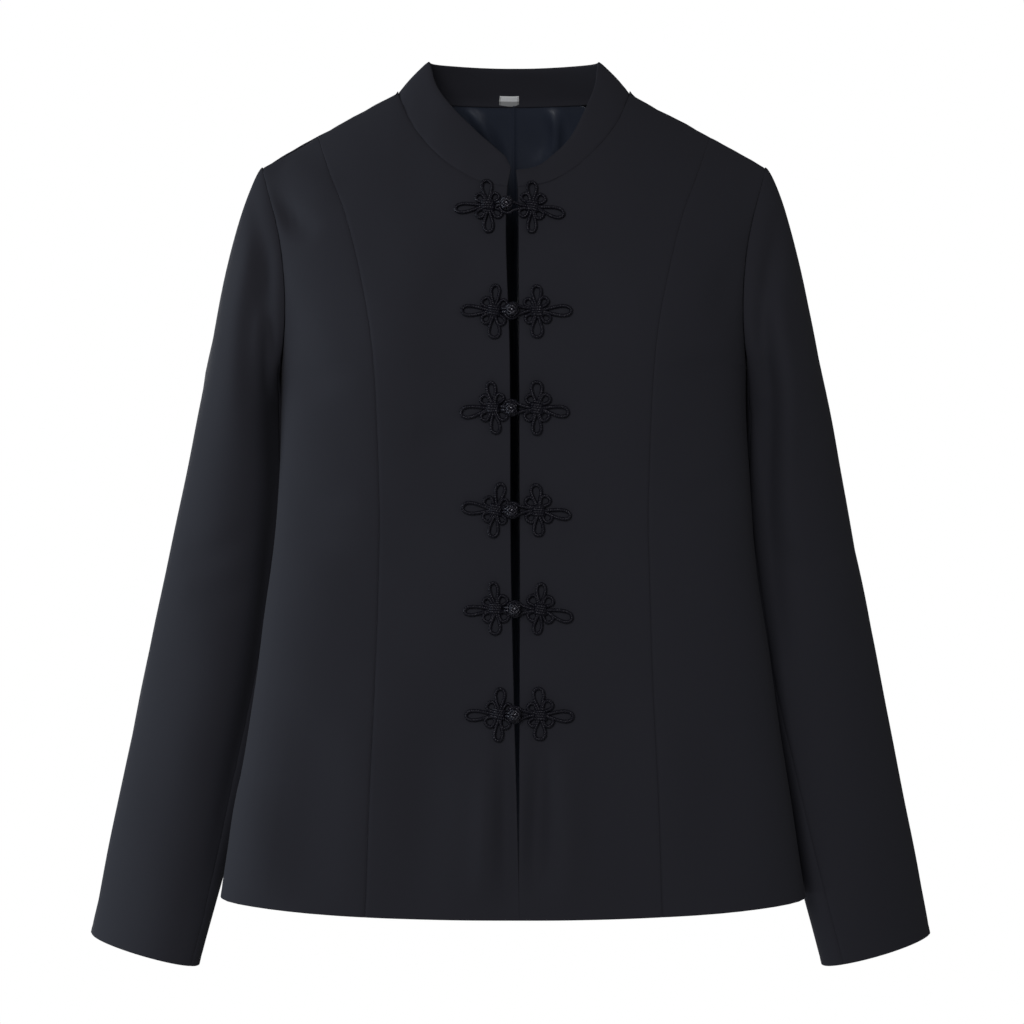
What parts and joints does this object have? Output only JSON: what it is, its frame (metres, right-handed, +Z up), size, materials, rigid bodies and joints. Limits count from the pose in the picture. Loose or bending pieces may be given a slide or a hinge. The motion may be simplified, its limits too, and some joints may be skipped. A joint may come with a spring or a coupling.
{
  "type": "tang jacket",
  "caption": "Women's fitted jacket with stand collar, princess seams, set-in sleeves and flower frogs, filled out as if worn.",
  "frame": {"origin": "the middle of the line on which the wearer's shoulders carry the jacket, between the two neck points", "axes": "+Z up, front towards -Y, the wearer's left towards +X"},
  "size_m": [0.6603, 0.1922, 0.6952],
  "materials": {
    "suiting": "near-black smooth wool suiting, semi-matt",
    "lining": "dark blue-black satin",
    "label": "pale grey woven tape, bare",
    "cord": "near-black rolled satin cord"
  },
  "bodies": {
    "root": {"right_centre_front": "suiting", "right_side_front": "suiting", "right_back": "suiting", "left_centre_front": "suiting", "left_side_front": "suiting", "left_back": "suiting", "back_lining": "lining", "right_top_sleeve": "suiting", "right_under_sleeve": "suiting", "left_top_sleeve": "suiting", "left_under_sleeve": "suiting", "collar": "suiting", "collar_facing": "suiting", "neck_label": "label", "frog_1_button_side": "cord", "frog_1_loop_side": "cord", "frog_1_knot": "cord", "frog_2_button_side": "cord", "frog_2_loop_side": "cord", "frog_2_knot": "cord", "frog_3_button_side": "cord", "frog_3_loop_side": "cord", "frog_3_knot": "cord", "frog_4_button_side": "cord", "frog_4_loop_side": "cord", "frog_4_knot": "cord", "frog_5_button_side": "cord", "frog_5_loop_side": "cord", "frog_5_knot": "cord", "frog_6_button_side": "cord", "frog_6_loop_side": "cord", "frog_6_knot": "cord"}
  },
  "joints": []
}
